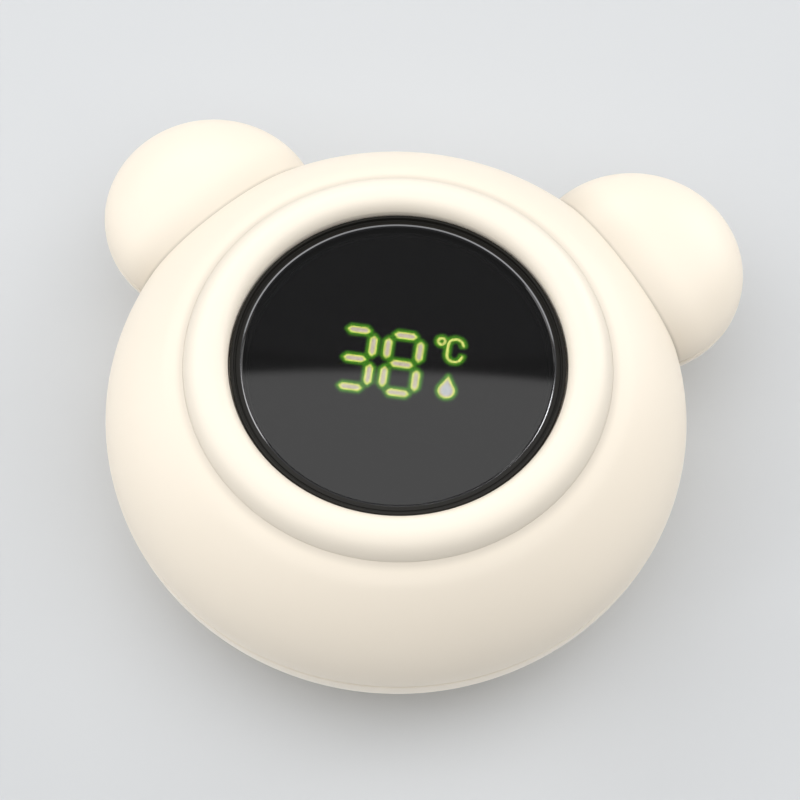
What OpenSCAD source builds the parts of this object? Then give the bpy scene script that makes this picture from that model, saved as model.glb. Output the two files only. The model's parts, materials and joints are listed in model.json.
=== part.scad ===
// Floating pool thermometer with a round body, two round ears and a lit display.
// The flat base stands on z = 0, the display faces up (+Z) and the ears point to +Y.

/* [Body] */
// Radius of the body at its widest line, where the two shells meet
body_r = 40; // [39.5:0.25:42]
// Height of the widest line above the base
seam_z = 15; // [14.8:0.1:15.2]
// Height that the top dome would reach above the widest line
dome_h = 22.85; // [22.7:0.05:23.5]
// Depth that the bottom bowl would reach below the widest line if it weren't cut flat
bowl_h = 22.2; // [22:0.1:23.5]
// Wall thickness at the widest line
wall = 3; // [2.8:0.1:3.2]
// Thickness of the flat base
floor_t = 2.4; // [2.2:0.1:2.6]

/* [Ears] */
// Distance of each ear's centre to the side
ear_x = 30.2; // [29:0.2:31]
// Distance of each ear's centre behind the body's centre
ear_y = 27.1; // [26:0.2:28]
// Radius of an ear seen from above
ear_r = 15.4; // [14:0.2:16]
// Half of an ear's height
ear_h = 9.3; // [8.6:0.1:10]

/* [Display] */
// Radius at which the face ring meets the dome
ring_out_r = 28.67; // [28.5:0.05:28.8]
// Radius of the face ring's opening
ring_in_r = 22.65; // [22.6:0.05:22.8]
// Height of the face ring's outer edge
ring_out_z = 30.73; // [30.7:0.05:31]
// Height of the face ring's inner edge
ring_in_z = 31.6; // [31.4:0.05:31.8]
// Radius of the lens
lens_r = 22.2; // [22:0.05:22.3]
// Height of the lens's top face
lens_top = 30.7; // [30.6:0.05:30.8]
// Distance between the centres of the two digits
digit_pitch = 6.3; // [6.2:0.05:6.5]
// Length of one lit segment
segment_l = 3.2; // [3:0.05:3.3]
// Width of one lit segment
segment_w = 1.05; // [0.9:0.05:1.1]

/* [Battery door] */
// Radius of the door's disc
door_r = 14.6; // [14.5:0.05:14.7]
// How far the door turns from closed to free, in degrees
door_turn = 120; // [120:1:125]
// How far the door moves out over that turn
door_lift = 5.4; // [5.4:0.1:5.6]

/* [Hidden] */
$fn = 96;

cream = [1.0, 0.96, 0.87];
past = 1;                 // how far a cutting shape runs past the surface that it cuts
fit = 0.05;               // radial play between pieces that are pushed together
seam_gap = 0.1;           // each shell's rim stays this far from the widest line

// Shells
arc_steps = 16;
top_wall = 2.45;          // dome thickness at its middle
ear_wall = 2.2;           // ear thickness at its top
bottom_wall = 2.4;
land_z = 29.5;            // flat seat that the face ring stands on
land_t = 2.6;
land_r = ring_out_r + 0.08;
land_reach = 30;          // outer radius of the thickened seat
opening_r = 24.5;
lip = 1.0;                // the shell's edge outside the gasket groove
groove_w = 1.0;
groove_depth = 1.1;
gasket_t = 0.8;

// Case screws, in the corners between the bayonet door and the rim
screw_ring_r = 26.5;
screw_angles = [45, 135, 225, 315];
screw_shank_r = 1.1;
screw_head_r = 2.0;
screw_head_h = 1.5;
screw_head_z = 4;
screw_tip_z = 23;
counterbore_r = 2.5;
boss_bottom_r = 3.8;
boss_top_r = 3.2;
boss_start_z = 1.5;

// Battery well, from the base upwards
mouth_r = door_r + 0.3;
mouth_top = 4.1;
spigot_bore_r = 12.8;
spigot_bore_top = 6.4;
cell_r = 10;
cell_h = 3.2;
cell_z = 6.4;
pocket_r = cell_r + 0.4;
pocket_top = 9.9;
well_r = 18.4;
well_top = 11.2;

// Quick thread: three lugs on the door ride down three sloped channels
lug_count = 3;
lug_half = 7;             // half of a lug's width, in degrees
lug_r = 16.4;
lug_z = 2.4;
lug_t = 1.4;
lug_play = 0.25;
lift_per_degree = door_lift / door_turn;
channel_in_r = door_r - 0.6;
channel_out_r = lug_r + 0.3;
channel_steps = 12;
channel_start = -lug_half - 1.5;
channel_end = lug_half + (lug_z + lug_t + lug_play) / lift_per_degree;

// Door
door_face_z = 0.3;
door_shoulder_z = 3.9;
spigot_r = 12.5;
spigot_top = 6.2;
ring_groove_r = 11.3;
ring_groove_z = [4.3, 5.9];
o_ring_r = 0.65;
coin_slot = [16, 2.0, 1.5];

// Boards and screws
main_board_z = 12.6;
main_board_t = 1.6;
main_board_r = 21.5;
main_post_ring_r = 18.2;
main_post_r = 2.3;
post_angles = [90, 210, 330];
display_board_z = 23.4;
display_board_t = 1.2;
display_board_r = 22.9;
display_post_ring_r = 21.3;
display_post_r = 1.6;
small_shank_r = 0.8;
small_head_r = 1.6;
small_head_h = 1.2;
header_y = -13.5;
header_pin_count = 6;
header_pitch = 2.54;
header_pin_r = 0.32;

// The ring's rounded top is two arcs that meet at the crest. Each one's radius follows from the
// slope at its edge, from the ring's width and from the difference in height of its edges.
ring_out_slope = 62;
ring_in_slope = 70;
ring_w = ring_out_r - ring_in_r;
out_ratio = sin(ring_out_slope) / (1 - cos(ring_out_slope));
ring_in_arc = (ring_w - (ring_in_z - ring_out_z) * out_ratio)
    / (sin(ring_in_slope) + (1 - cos(ring_in_slope)) * out_ratio);
ring_crest_r = ring_in_r + ring_in_arc * sin(ring_in_slope);
ring_crest_z = ring_in_z + ring_in_arc * (1 - cos(ring_in_slope));
ring_out_arc = (ring_crest_z - ring_out_z) / (1 - cos(ring_out_slope));

// Display stack
ledge_r = 20;             // inner radius of the ledge that the lens gasket lies on
ledge_z = [27.2, 28.6];
lens_t = 1.5;
skirt_r = [22.9, 24.4];
skirt_z = 26.1;
skirt_bead = 0.35;        // the skirt's snap bead, which clicks in under the seat
skirt_play = 0.2;
rim_r = [20.7, 22.4];
film_t = 0.2;
housing_x = [-12.4, 11.9];
housing_y = [-8.2, 9.0];
housing_z = display_board_z + display_board_t;
segments_top = lens_top - lens_t - film_t;
segments_t = 2.1;
icon_stroke = 0.38;
digit_y = 0.5;
digit_x = [-5.9, -5.9 + digit_pitch];
segment_row = 4.29;       // height of a digit's top bar above its middle bar
segment_column = 2.15;    // distance of a digit's upright bars from its middle
led_size = [0.8, 0.6, 0.45];
icon_well_r = 0.55;

// Probe and water contacts, in front of the battery well
probe_y = -23.6;
probe_r = 2.5;
probe_boss_r = 4.6;
probe_boss_top = 6;
probe_recess_r = 5;
probe_recess_h = 1.4;
contact_x = 9.5;
contact_y = -22;
contact_r = 1.1;
contact_boss_r = 3;
contact_boss_top = 5.5;
thermistor_r = 1.0;
thermistor_z = 2.2;
lead_r = 0.3;
lead_bend = 1.5;

// Points of an ellipse with half axes r and h, from angle a0 to a1
function ellipse_arc(r, h, a0, a1, steps) =
    [for (i = [0:steps]) let (a = a0 + (a1 - a0) * i / steps) [r * cos(a), h * sin(a)]];

// Points of a circle's arc about c
function circle_arc(c, r, a0, a1, steps) =
    [for (i = [0:steps]) let (a = a0 + (a1 - a0) * i / steps) c + r * [cos(a), sin(a)]];

function polar(r, a) = [r * cos(a), r * sin(a)];

// Half of a flattened ball above z = 0, with a straight skirt below it
module dome(r, h, skirt = 0) {
    rotate_extrude()
        polygon(concat([[0, -skirt], [r, -skirt]], ellipse_arc(r, h, 0, 90, arc_steps)));
}

// Half of a flattened ball below z = 0, cut flat at a depth, with a straight skirt above it
module bowl(r, h, depth, skirt = 0) {
    rotate_extrude()
        polygon(concat([[0, skirt], [r, skirt]],
                       ellipse_arc(r, h, 0, -asin(depth / h), arc_steps), [[0, -depth]]));
}

module at_ears() {
    for (side = [-1, 1])
        translate([side * ear_x, ear_y, 0]) children();
}

// The body's outline from above, drawn in by an inset
module outline(inset) {
    circle(r = body_r - inset);
    at_ears() circle(r = ear_r - inset);
}

// A band that follows the outline between two insets
module outline_band(inset, width, h) {
    linear_extrude(height = h) difference() {
        outline(inset);
        outline(inset + width);
    }
}

module at_ring(r, angles) {
    for (a = angles)
        translate(polar(r, a)) children();
}

module tube(r_out, r_in, h) {
    difference() {
        cylinder(r = r_out, h = h);
        translate([0, 0, -past]) cylinder(r = r_in, h = h + 2 * past);
    }
}

module top_shell() {
    color(cream) difference() {
        union() {
            difference() {
                translate([0, 0, seam_z + seam_gap]) {
                    dome(body_r, dome_h - seam_gap);
                    at_ears() dome(ear_r, ear_h);
                }
                translate([0, 0, seam_z]) {
                    dome(body_r - wall, dome_h - top_wall, past);
                    at_ears() dome(ear_r - wall, ear_h - ear_wall, past);
                }
            }
            translate([0, 0, land_z - land_t]) tube(land_reach, opening_r, land_t);
            translate([0, 0, seam_z + seam_gap]) at_ring(screw_ring_r, screw_angles)
                cylinder(r = boss_top_r, h = land_z - land_t - seam_z + 0.3);
            translate([0, 0, seam_z - (groove_depth - gasket_t)])
                outline_band(lip + fit, groove_w - 2 * fit, 2);
        }
        translate([0, 0, land_z]) cylinder(r = land_r, h = dome_h);
        translate([0, 0, skirt_z - skirt_play]) {
            cylinder(r = opening_r, h = dome_h);
            cylinder(r = skirt_r[1] + skirt_bead + 0.15,
                     h = land_z - land_t - skirt_z + skirt_play);
        }
        translate([0, 0, seam_z - past]) at_ring(screw_ring_r, screw_angles)
            cylinder(r = screw_shank_r + 0.02, h = screw_tip_z + 1 - seam_z + past);
    }
}

// One sloped channel for a lug, as a closed sweep of a rectangle. It starts at a lug's closed
// place, runs backwards round the mouth as it falls, and leaves through the base.
function channel_top(a) =
    lug_z + lug_t + lug_play - lift_per_degree * max(a - lug_half, 0);
function channel_floor(a) =
    max(lug_z - lug_play - lift_per_degree * max(a + lug_half, 0), -2 * lug_play);
function channel_ring(a) = [
    for (corner = [[channel_in_r, channel_floor(a)], [channel_out_r, channel_floor(a)],
                   [channel_out_r, channel_top(a)], [channel_in_r, channel_top(a)]])
        [corner[0] * cos(a), -corner[0] * sin(a), corner[1]]
];
function channel_angle(i) = channel_start + (channel_end - channel_start) * i / channel_steps;

module lug_channel() {
    points = [for (i = [0:channel_steps]) each channel_ring(channel_angle(i))];
    sides = [
        for (i = [0:channel_steps - 1], j = [0:3])
            let (a = 4 * i + j, b = 4 * i + (j + 1) % 4)
                each [[a, b + 4, b], [a, a + 4, b + 4]]
    ];
    last = 4 * channel_steps;
    ends = [[0, 1, 2], [0, 2, 3], [last, last + 2, last + 1], [last, last + 3, last + 2]];
    polyhedron(points = points, faces = concat(sides, ends));
}

module bottom_shell() {
    color(cream) difference() {
        union() {
            difference() {
                translate([0, 0, seam_z - seam_gap]) {
                    bowl(body_r, bowl_h, seam_z - seam_gap);
                    at_ears() bowl(ear_r, ear_h, ear_h);
                }
                translate([0, 0, seam_z]) {
                    bowl(body_r - wall, bowl_h - bottom_wall, seam_z - floor_t, past);
                    at_ears() bowl(ear_r - wall, ear_h - ear_wall, ear_h - ear_wall, past);
                }
            }
            cylinder(r = well_r, h = well_top);
            translate([0, 0, boss_start_z]) {
                at_ring(screw_ring_r, screw_angles)
                    cylinder(r = boss_bottom_r, h = seam_z - seam_gap - boss_start_z);
                at_ring(main_post_ring_r, post_angles)
                    cylinder(r = main_post_r, h = main_board_z - boss_start_z);
                translate([0, probe_y, 0])
                    cylinder(r = probe_boss_r, h = probe_boss_top - boss_start_z);
                for (side = [-1, 1]) translate([side * contact_x, contact_y, 0])
                    cylinder(r = contact_boss_r, h = contact_boss_top - boss_start_z);
            }
        }
        well_bores();
        case_screw_holes();
        sensor_holes();
        translate([0, 0, seam_z - groove_depth])
            outline_band(lip, groove_w, groove_depth + past);
    }
}

module well_bores() {
    translate([0, 0, -past]) cylinder(r = mouth_r, h = mouth_top + past);
    cylinder(r = spigot_bore_r, h = spigot_bore_top);
    cylinder(r = pocket_r, h = pocket_top);
    for (i = [0:lug_count - 1]) rotate(i * 360 / lug_count) lug_channel();
    // slots for the two battery contacts
    translate([-2.3, pocket_r - past, cell_z + 0.2]) cube([4.6, 1.6, well_top]);
    translate([5.4, -2.3, pocket_top - past]) cube([1.2, 4.6, 2 * past + 2]);
    at_ring(main_post_ring_r, post_angles) translate([0, 0, 6.6])
        cylinder(r = small_shank_r + 0.02, h = main_board_z);
}

module case_screw_holes() {
    translate([0, 0, -past]) at_ring(screw_ring_r, screw_angles) {
        cylinder(r = counterbore_r, h = screw_head_z + screw_head_h + past);
        cylinder(r = screw_shank_r + 0.2, h = seam_z + 2 * past);
    }
}

module sensor_holes() {
    translate([0, probe_y, -past]) {
        cylinder(r = probe_recess_r, h = probe_recess_h + past);
        cylinder(r = probe_r + fit, h = probe_boss_top + 2 * past);
        translate([0, 0, probe_boss_top - 1.1 + past])
            cylinder(r = probe_r + 0.85, h = 1.1 + past);
    }
    for (side = [-1, 1]) translate([side * contact_x, contact_y, -past]) {
        cylinder(r = contact_r + 1.4, h = 1.1 + past);
        cylinder(r = contact_r + fit, h = contact_boss_top + 2 * past);
    }
}

module shell_gasket() {
    color("dimgray") translate([0, 0, seam_z - groove_depth])
        outline_band(lip + fit, groove_w - 2 * fit, gasket_t);
}

module face_ring() {
    color(cream) difference() {
        union() {
            rotate_extrude() polygon(concat(
                [[ledge_r, ledge_z[0]], [ledge_r, ledge_z[1]], [ring_in_r, ledge_z[1]]],
                circle_arc([ring_crest_r, ring_crest_z - ring_in_arc], ring_in_arc,
                           90 + ring_in_slope, 90, 10),
                circle_arc([ring_crest_r, ring_crest_z - ring_out_arc], ring_out_arc,
                           81, 90 - ring_out_slope, 10),
                [[ring_out_r, land_z], [skirt_r[1], land_z], [skirt_r[1], skirt_z + 0.7],
                 [skirt_r[1] + skirt_bead, skirt_z + 0.6],
                 [skirt_r[1] + skirt_bead, skirt_z + 0.35],
                 [skirt_r[1], skirt_z], [skirt_r[0], skirt_z], [skirt_r[0], ledge_z[0]]]));
            at_ring(display_post_ring_r, post_angles) translate([0, 0, housing_z])
                cylinder(r = display_post_r, h = ledge_z[0] - housing_z + 0.5);
        }
        at_ring(display_post_ring_r, post_angles) translate([0, 0, housing_z - past])
            cylinder(r = small_shank_r + 0.02, h = ledge_z[1] - 0.6 - housing_z + past);
    }
}

module display_rim() {
    rim_top = lens_top + 0.8;
    color([0.05, 0.05, 0.05]) rotate_extrude() polygon([
        [rim_r[0], lens_top], [rim_r[0], lens_top + 0.15], [rim_r[0] + 0.25, lens_top + 0.25],
        [rim_r[0] + 0.6, lens_top + 0.55], [rim_r[0] + 0.68, lens_top + 0.25],
        [rim_r[0] + 0.9, lens_top + 0.25], [rim_r[0] + 0.95, rim_top - 0.1],
        [rim_r[0] + 1.05, rim_top], [rim_r[1] - 0.2, rim_top], [rim_r[1], rim_top - 0.2],
        [rim_r[1], lens_top]]);
}

module display_lens() {
    color([0.1, 0.1, 0.11, 0.6]) translate([0, 0, lens_top - lens_t])
        cylinder(r = lens_r, h = lens_t);
}

module lens_gasket() {
    color([0.1, 0.1, 0.1]) translate([0, 0, ledge_z[1]])
        tube(lens_r - 0.1, ledge_r + 0.3, lens_top - lens_t - ledge_z[1]);
}

module diffuser_film() {
    color([0.2, 0.25, 0.2]) translate([0, 0, segments_top])
        cylinder(r = ledge_r - 0.2, h = film_t);
}

// A bar with pointed ends, centred on the origin
module segment_shape() {
    l = segment_l / 2;
    w = segment_w / 2;
    polygon([[-l, 0], [w - l, -w], [l - w, -w], [l, 0], [l - w, w], [w - l, w]]);
}

// Bars of a digit in the order a to g: top, right up, right down, bottom, left down, left up, middle
module digit(x, bars) {
    half_row = segment_row / 2;
    places = [[0, segment_row, 0], [segment_column, half_row, 90],
              [segment_column, -half_row, 90], [0, -segment_row, 0],
              [-segment_column, -half_row, 90], [-segment_column, half_row, 90], [0, 0, 0]];
    translate([x, digit_y]) for (i = bars)
        translate([places[i][0], places[i][1]]) rotate(places[i][2]) segment_shape();
}

module stadium(w, h) {
    for (side = [-1, 1]) translate([0, side * (h - w) / 2]) circle(r = w / 2);
    square([w, h - w], center = true);
}

module degree_shape() {
    translate([5.25, 4.7]) difference() {
        circle(r = 0.66);
        circle(r = 0.66 - icon_stroke);
    }
}

module letter_c_shape() {
    translate([7.2, 3.55]) difference() {
        stadium(2.4, 3.8);
        stadium(2.4 - 2 * icon_stroke, 3.8 - 2 * icon_stroke);
        translate([0, -0.75]) square([2, 1.5]);
    }
}

// A circle and the two straight lines from its sides to the tip above it
module drop_shape() {
    r = 1.15;
    tip = 2.2;
    a = acos(r / tip);
    translate([6.8, -2.53]) {
        circle(r = r);
        polygon([[0, tip], r * [-sin(a), cos(a)], [0, 0], r * [sin(a), cos(a)]]);
    }
}

module lit_shapes() {
    digit(digit_x[0], [0, 1, 2, 3, 6]);
    digit(digit_x[1], [0, 1, 2, 3, 4, 5, 6]);
}

module unlit_shapes() {
    digit(digit_x[0], [4, 5]);
}

module icon_shapes() {
    degree_shape();
    letter_c_shape();
    drop_shape();
}

module light_bars() {
    translate([0, 0, segments_top - segments_t]) linear_extrude(height = segments_t) children();
}

module digit_housing() {
    depth = segments_top - housing_z;
    color([0.06, 0.06, 0.06]) translate([0, 0, housing_z]) difference() {
        translate([housing_x[0], housing_y[0], 0])
            cube([housing_x[1] - housing_x[0], housing_y[1] - housing_y[0], depth]);
        translate([0, 0, -past]) linear_extrude(height = depth + 2 * past) {
            lit_shapes();
            unlit_shapes();
        }
        translate([0, 0, depth - segments_t]) linear_extrude(height = segments_t + past)
            icon_shapes();
        translate([0, 0, -past]) at_icon_leds()
            cylinder(r = icon_well_r, h = depth - segments_t + past + fit);
    }
}

module lit_segments() { color([0.85, 0.95, 0.55]) light_bars() lit_shapes(); }
module unlit_segments() { color([0.12, 0.13, 0.12]) light_bars() unlit_shapes(); }
module unit_icons() { color([0.85, 0.95, 0.55]) light_bars() icon_shapes(); }

module display_board() {
    color([0.1, 0.3, 0.15]) translate([0, 0, display_board_z]) difference() {
        cylinder(r = display_board_r, h = display_board_t);
        translate([0, 0, -past]) {
            at_ring(display_post_ring_r, post_angles)
                cylinder(r = small_shank_r + 0.15, h = display_board_t + 2 * past);
            at_header_pins() cylinder(r = header_pin_r + fit, h = display_board_t + 2 * past);
        }
    }
}

// Places under a stroke of each icon: the degree ring, the letter and the drop
module at_icon_leds() {
    for (place = [[5.73, 4.7], [6.19, 3.3], [6.8, -2.53]])
        translate([place[0], place[1], 0]) children();
}

// One chip under each bar and each icon
module led_chips() {
    half_row = segment_row / 2;
    color([0.95, 0.9, 0.6]) translate([0, 0, housing_z + led_size[2] / 2]) {
        for (x = digit_x, y = [-segment_row, 0, segment_row])
            translate([x, digit_y + y, 0]) cube(led_size, center = true);
        for (x = digit_x, dx = [-segment_column, segment_column], y = [-half_row, half_row])
            translate([x + dx, digit_y + y, 0]) rotate(90) cube(led_size, center = true);
        at_icon_leds() cube(led_size, center = true);
    }
}

module at_header_pins() {
    for (i = [0:header_pin_count - 1])
        translate([(i - (header_pin_count - 1) / 2) * header_pitch, header_y, 0]) children();
}

module header_body() {
    z = main_board_z + main_board_t;
    h = display_board_z - z;
    color([0.08, 0.08, 0.08]) difference() {
        translate([-header_pin_count * header_pitch / 2, header_y - header_pitch / 2, z])
            cube([header_pin_count * header_pitch, header_pitch, h]);
        translate([0, 0, z - past]) at_header_pins()
            cylinder(r = header_pin_r + 0.01, h = h + 2 * past);
    }
}

module header_pins() {
    z = main_board_z - 0.8;
    color("gold") translate([0, 0, z]) at_header_pins()
        cylinder(r = header_pin_r, h = housing_z + 0.8 - z);
}

module main_board() {
    color([0.1, 0.3, 0.15]) translate([0, 0, main_board_z]) difference() {
        cylinder(r = main_board_r, h = main_board_t);
        translate([0, 0, -past]) {
            at_ring(main_post_ring_r, post_angles)
                cylinder(r = small_shank_r + 0.15, h = main_board_t + 2 * past);
            at_header_pins() cylinder(r = header_pin_r + fit, h = main_board_t + 2 * past);
        }
    }
}

module controller_chip() {
    body = [7, 7, 1.4];
    lead = [0.3, 1.0, 0.25];
    lead_pitch = 0.8;
    color([0.12, 0.12, 0.12]) translate([3, 3, main_board_z + main_board_t]) {
        translate([-body[0] / 2, -body[1] / 2, 0.1]) cube([body[0], body[1], body[2] - 0.1]);
        for (turn = [0:90:270]) rotate(turn)
            for (i = [-3:3]) translate([i * lead_pitch - lead[0] / 2, body[1] / 2 - 0.2, 0])
                cube(lead);
    }
}

module board_components() {
    color([0.55, 0.45, 0.3]) translate([0, 0, main_board_z + main_board_t]) {
        for (i = [0:4]) translate([-9 + 2.2 * i, 11, 0]) cube([1.2, 2, 0.8]);
        for (i = [0:3]) translate([-11, -5 + 2.4 * i, 0]) cube([2, 1.2, 0.7]);
        translate([12, -4, 1.55]) rotate([-90, 0, 0]) cylinder(r = 1.5, h = 8);
        translate([-5, -4, 0]) cylinder(r = 2.5, h = 5);
    }
}

module pan_screw(head_r, head_h, shank_r, shank_l) {
    difference() {
        union() {
            cylinder(r = head_r, h = head_h);
            cylinder(r = shank_r, h = head_h + shank_l);
        }
        for (turn = [0, 90]) rotate(turn)
            translate([-head_r * 0.6, -head_r * 0.12, -past])
                cube([head_r * 1.2, head_r * 0.24, head_h * 0.5 + past]);
    }
}

module board_screws() {
    main_top = main_board_z + main_board_t;
    color("silver") {
        at_ring(main_post_ring_r, post_angles) translate([0, 0, main_top + small_head_h])
            rotate([180, 0, 0]) pan_screw(small_head_r, small_head_h, small_shank_r, 7);
        at_ring(display_post_ring_r, post_angles)
            translate([0, 0, display_board_z - small_head_h])
                pan_screw(small_head_r, small_head_h, small_shank_r, 4.2);
    }
}

module coin_cell() {
    edge = 0.4;
    cap_r = cell_r - 1.1;
    color("silver") translate([0, 0, cell_z]) rotate_extrude() polygon([
        [0, 0], [cell_r - edge, 0], [cell_r, edge], [cell_r, cell_h - 0.5],
        [cell_r - 0.3, cell_h - 0.25], [cap_r + 0.2, cell_h - 0.25], [cap_r, cell_h],
        [0, cell_h]]);
}

// Upright leaf beside the cell's rim, with a tail up to the main board
module positive_contact() {
    leaf_t = 0.3;
    color("silver") translate([-2, cell_r + 0.05, cell_z + 0.4]) {
        cube([4, leaf_t, main_board_z - cell_z - 0.4]);
        translate([1, 0, 0]) cube([2, leaf_t + 0.5, 1]);
    }
}

// Flat leaf between the cell's cap and the well's ceiling, with a tail up to the main board
module negative_contact() {
    leaf_t = 0.2;
    z = cell_z + cell_h + 0.05;
    color("silver") {
        translate([-6, -2, z]) cube([12, 4, leaf_t]);
        translate([5.8, -2, z]) cube([0.3, 4, main_board_z - z]);
    }
}

module battery_door() {
    edge = 0.4;
    recess_r = 9;
    recess_z = 3;
    color(cream) difference() {
        union() {
            rotate_extrude() polygon([
                [0, door_face_z], [door_r - edge, door_face_z], [door_r, door_face_z + edge],
                [door_r, door_shoulder_z], [spigot_r, door_shoulder_z],
                [spigot_r, ring_groove_z[0]], [ring_groove_r, ring_groove_z[0]],
                [ring_groove_r, ring_groove_z[1]], [spigot_r, ring_groove_z[1]],
                [spigot_r, spigot_top], [recess_r, spigot_top], [recess_r, recess_z],
                [0, recess_z]]);
            for (i = [0:lug_count - 1]) rotate(i * 360 / lug_count - lug_half)
                rotate_extrude(angle = 2 * lug_half)
                    translate([door_r - 0.5, lug_z]) square([lug_r - door_r + 0.5, lug_t]);
        }
        translate([0, 0, door_face_z + coin_slot[2] / 2 - past / 2])
            cube([coin_slot[0], coin_slot[1], coin_slot[2] + past], center = true);
    }
}

module door_o_ring() {
    centre_r = (ring_groove_r + spigot_bore_r) / 2;
    color([0.15, 0.15, 0.15]) translate([0, 0, (ring_groove_z[0] + ring_groove_z[1]) / 2])
        rotate_extrude() translate([centre_r, 0]) circle(r = o_ring_r);
}

module case_screws() {
    color("silver") at_ring(screw_ring_r, screw_angles) translate([0, 0, screw_head_z])
        pan_screw(screw_head_r, screw_head_h, screw_shank_r,
                  screw_tip_z - screw_head_z - screw_head_h);
}

module screw_plugs() {
    color(cream) at_ring(screw_ring_r, screw_angles) translate([0, 0, 0.5]) {
        cylinder(r1 = counterbore_r - 0.3, r2 = counterbore_r - fit, h = 0.4);
        translate([0, 0, 0.4]) cylinder(r = counterbore_r - fit, h = 2.2);
    }
}

module probe_cap() {
    tip_z = 0.6;
    round_r = 1.2;
    inner_r = probe_r - 0.4;
    top = 7.6;
    flange = [3.5, probe_boss_top, probe_boss_top + 0.7];
    color("lightgray") translate([0, probe_y, 0]) rotate_extrude() polygon(concat(
        [[0, tip_z]],
        circle_arc([probe_r - round_r, tip_z + round_r], round_r, -90, 0, 8),
        [[probe_r, flange[1]], [flange[0], flange[1]], [flange[0], flange[2]],
         [probe_r, flange[2]], [probe_r, top], [inner_r, top], [inner_r, tip_z + 1],
         [inner_r - 0.5, tip_z + 0.5], [0, tip_z + 0.5]]));
}

module probe_seal() {
    color([0.2, 0.2, 0.2]) translate([0, probe_y, probe_boss_top - 1.1])
        tube(probe_r + 0.8, probe_r + fit, 1.1);
}

module thermistor() {
    color([0.1, 0.1, 0.1]) translate([0, probe_y, thermistor_z]) sphere(r = thermistor_r);
}

// A quarter bend of a lead, from pointing up at the origin to pointing along +Y
module lead_elbow() {
    translate([0, lead_bend, 0]) rotate([0, -90, 180])
        rotate_extrude(angle = 90) translate([lead_bend, 0]) circle(r = lead_r);
}

// A lead that rises from (y0, z0), runs along +Y to y1 and rises again to the main board
module lead(x, y0, z0, y1) {
    run_z = main_board_z - 2.5;
    color([0.7, 0.15, 0.1]) translate([x, 0, 0]) {
        translate([0, y0, z0]) cylinder(r = lead_r, h = run_z - lead_bend - z0);
        translate([0, y0, run_z - lead_bend]) lead_elbow();
        translate([0, y0 + lead_bend, run_z]) rotate([-90, 0, 0])
            cylinder(r = lead_r, h = y1 - y0 - 2 * lead_bend);
        translate([0, y1, run_z + lead_bend]) rotate([180, 0, 0]) lead_elbow();
        translate([0, y1, run_z + lead_bend])
            cylinder(r = lead_r, h = main_board_z - run_z - lead_bend);
    }
}

module probe_leads() {
    for (side = [-1, 1]) lead(side * 0.5, probe_y, thermistor_z + thermistor_r, -18.8);
}

module contact_leads() {
    for (side = [-1, 1]) lead(side * contact_x, contact_y, 7, -18.6);
}

module water_contacts() {
    head_r = contact_r + 0.9;
    color("lightgray") for (side = [-1, 1]) translate([side * contact_x, contact_y, 0]) {
        translate([0, 0, 0.5]) cylinder(r1 = head_r - 0.2, r2 = head_r, h = 0.2);
        translate([0, 0, 0.7]) cylinder(r = head_r, h = 0.4);
        translate([0, 0, 0.7]) cylinder(r = contact_r, h = 6.3);
    }
}

module contact_seals() {
    color([0.2, 0.2, 0.2]) for (side = [-1, 1])
        translate([side * contact_x, contact_y, contact_boss_top])
            tube(contact_r + 1.2, contact_r + 0.02, 0.8);
}

top_shell();
bottom_shell();
shell_gasket();
face_ring();
display_rim();
display_lens();
lens_gasket();
diffuser_film();
digit_housing();
lit_segments();
unlit_segments();
unit_icons();
display_board();
led_chips();
header_body();
header_pins();
main_board();
controller_chip();
board_components();
board_screws();
coin_cell();
positive_contact();
negative_contact();
battery_door();
door_o_ring();
case_screws();
screw_plugs();
probe_cap();
probe_seal();
thermistor();
probe_leads();
water_contacts();
contact_seals();
contact_leads();
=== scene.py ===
import json
import math

import bpy
import numpy as np
from mathutils import Matrix, Vector
from mathutils.geometry import delaunay_2d_cdt

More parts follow.
